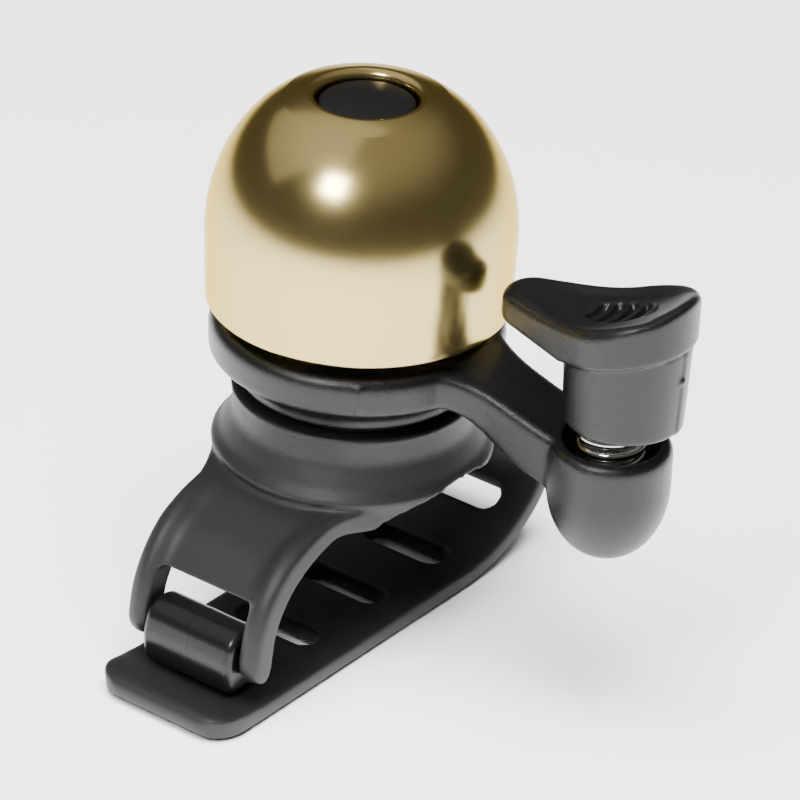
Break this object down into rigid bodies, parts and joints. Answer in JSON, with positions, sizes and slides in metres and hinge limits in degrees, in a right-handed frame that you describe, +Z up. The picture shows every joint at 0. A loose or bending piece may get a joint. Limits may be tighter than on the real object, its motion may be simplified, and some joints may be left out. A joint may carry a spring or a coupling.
{
  "type": "bicycle bell",
  "caption": "Mini bicycle bell: brass dome on a swivelling plastic bracket with a sprung thumb striker, on a slotted rubber handlebar strap.",
  "frame": {"origin": "crown of the strap's saddle arch on the dome's axis, the point that sits on top of the handlebar", "axes": "+Z up along the dome's axis, +X along the handlebar, towards the striker at rest, +Y away from the strap's hook"},
  "size_m": [0.0592, 0.0613, 0.0639],
  "materials": {
    "rubber": "matte moulded rubber",
    "hook_plastic": "smooth semi-gloss",
    "cap_plastic": "smooth gloss",
    "grained_plastic": "spark-eroded grain, satin",
    "nylon": "natural nylon",
    "brass": "polished and lacquered",
    "bright_steel": "bright drawn",
    "zinc_steel": "zinc plated"
  },
  "bodies": {
    "mounting": {"strap": "rubber", "hook_pin": "bright_steel", "swivel_insert": "nylon", "pivot_bolt": "zinc_steel", "bolt_washer": "bright_steel", "glide_ring": "nylon", "wave_washer": "bright_steel", "jam_nut": "zinc_steel", "centre_post": "bright_steel", "post_washer": "bright_steel", "lower_grommet": "rubber", "bell_dome": "brass", "upper_grommet": "rubber", "dome_screw": "zinc_steel", "top_cap": "cap_plastic"},
    "bracket": {"bracket": "grained_plastic", "striker_spring": "bright_steel"},
    "striker": {"striker": "grained_plastic"},
    "hook": {"strap_hook": "hook_plastic"}
  },
  "joints": [
    {"name": "bracket_swivel", "type": "hinge", "parent": "mounting", "child": "bracket", "pos_m": [0, 0, 0.0113], "axis": [0, 0, 1], "continuous": true},
    {"name": "striker_flex", "type": "hinge", "parent": "bracket", "child": "striker", "pos_m": [0.03345, 0.00187, 0.01255], "axis": [-0.0558, 0.9984, 0], "range_deg": [-9, 20], "stiffness_Nm_per_rad": 0.08, "deforming": ["striker_spring"]},
    {"name": "hook_tilt", "type": "hinge", "parent": "mounting", "child": "hook", "pos_m": [0, -0.0252, -0.0146], "axis": [1, 0, 0], "range_deg": [-5, 5]}
  ]
}
